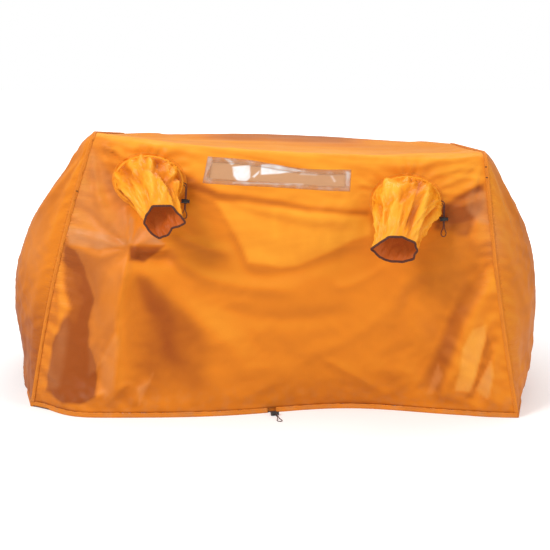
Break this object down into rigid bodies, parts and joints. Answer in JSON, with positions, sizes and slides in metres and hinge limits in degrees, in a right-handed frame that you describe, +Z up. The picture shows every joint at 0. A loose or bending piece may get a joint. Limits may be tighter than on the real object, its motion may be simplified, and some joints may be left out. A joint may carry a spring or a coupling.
{
  "type": "bothy bag",
  "caption": "Floorless group shelter of thin coated cloth, shown spread as if held up from inside, with a window, snorkel vents, sewn seats and a drawn hem.",
  "frame": {"origin": "middle of the shelter's outline on the ground, with its hem lying on z = 0", "axes": "+X along the shelter's long side, towards the lower end; the wall with the window and the vents faces -Y; +Z up"},
  "size_m": [1.722, 1.0972, 0.8473],
  "materials": {
    "orange_cloth": "thin coated ripstop cloth, creased, with a soft sheen",
    "orange_tape": "folded and stitched cloth tape",
    "clear_film": "clear flexible film, wrinkled and glossy",
    "brown_binding": "dark woven binding tape",
    "dark_cord": "thin braided cord",
    "black_plastic": "moulded, satin",
    "spring_steel": "drawn wire",
    "seat_cloth": "heavier coated cloth, matt"
  },
  "bodies": {
    "shelter": {"main_panel": "orange_cloth", "left_end_panel": "orange_cloth", "right_end_panel": "orange_cloth", "left_end_seam": "orange_tape", "right_end_seam": "orange_tape", "window_pane": "clear_film", "window_binding": "orange_tape", "hem_casing_front_left": "orange_cloth", "hem_casing_front_right": "orange_cloth", "hem_casing_right": "orange_cloth", "hem_casing_back": "orange_cloth", "hem_casing_left": "orange_cloth", "hem_drawcord": "dark_cord", "hem_cord_loop": "dark_cord", "left_vent_collar": "orange_tape", "left_vent_drawcord": "dark_cord", "left_vent_cord_loop": "dark_cord", "right_vent_collar": "orange_tape", "right_vent_drawcord": "dark_cord", "right_vent_cord_loop": "dark_cord", "pole_pocket_front_left": "orange_tape", "pole_pocket_front_right": "orange_tape", "pole_pocket_back_left": "orange_tape", "pole_pocket_back_right": "orange_tape", "right_hem_tab": "brown_binding"},
    "left_snorkel": {"left_vent_sleeve": "orange_cloth", "left_vent_rim": "brown_binding"},
    "right_snorkel": {"right_vent_sleeve": "orange_cloth", "right_vent_rim": "brown_binding"},
    "left_seat": {"left_seat_panel": "seat_cloth"},
    "right_seat": {"right_seat_panel": "seat_cloth"},
    "hem_lock": {"hem_lock_body": "black_plastic", "hem_lock_spring": "spring_steel"},
    "hem_lock_button": {"hem_lock_plunger": "black_plastic"},
    "left_vent_lock": {"left_vent_lock_body": "black_plastic", "left_vent_lock_spring": "spring_steel"},
    "left_vent_lock_button": {"left_vent_lock_plunger": "black_plastic"},
    "right_vent_lock": {"right_vent_lock_body": "black_plastic", "right_vent_lock_spring": "spring_steel"},
    "right_vent_lock_button": {"right_vent_lock_plunger": "black_plastic"}
  },
  "joints": [
    {"name": "left_snorkel_lift", "type": "hinge", "parent": "shelter", "child": "left_snorkel", "pos_m": [-0.3644, -0.38248, 0.78109], "axis": [-0.9969, 0.002, 0.079], "range_deg": [0, 45]},
    {"name": "right_snorkel_lift", "type": "hinge", "parent": "shelter", "child": "right_snorkel", "pos_m": [0.38759, -0.38452, 0.72084], "axis": [-1, 0.0016, 0.0084], "range_deg": [0, 45]},
    {"name": "left_seat_fold", "type": "hinge", "parent": "shelter", "child": "left_seat", "pos_m": [-0.7807, 0.116, 0.0012], "axis": [0, -1, 0], "range_deg": [0, 75]},
    {"name": "right_seat_fold", "type": "hinge", "parent": "shelter", "child": "right_seat", "pos_m": [0.7587, 0.056, 0.0012], "axis": [0, 1, 0], "range_deg": [0, 75]},
    {"name": "hem_lock_slide", "type": "slide", "parent": "shelter", "child": "hem_lock", "axis": [0.2585, -0.966, 0], "range_m": [-0.016, 0.028]},
    {"name": "hem_lock_press", "type": "slide", "parent": "hem_lock", "child": "hem_lock_button", "axis": [-0.966, -0.2585, 0], "range_m": [0, 0.003], "stiffness_N_per_m": 400, "springref_m": -0.005, "deforming": ["hem_lock_spring"]},
    {"name": "left_vent_lock_slide", "type": "slide", "parent": "shelter", "child": "left_vent_lock", "axis": [0.0789, 0.0843, 0.9933], "range_m": [-0.014, 0.022]},
    {"name": "left_vent_lock_press", "type": "slide", "parent": "left_vent_lock", "child": "left_vent_lock_button", "axis": [-0.9969, 0.002, 0.079], "range_m": [0, 0.003], "stiffness_N_per_m": 400, "springref_m": -0.005, "deforming": ["left_vent_lock_spring"]},
    {"name": "right_vent_lock_slide", "type": "slide", "parent": "shelter", "child": "right_vent_lock", "axis": [0.0085, 0.0863, 0.9962], "range_m": [-0.014, 0.022]},
    {"name": "right_vent_lock_press", "type": "slide", "parent": "right_vent_lock", "child": "right_vent_lock_button", "axis": [-1, 0.0016, 0.0084], "range_m": [0, 0.003], "stiffness_N_per_m": 400, "springref_m": -0.005, "deforming": ["right_vent_lock_spring"]}
  ]
}
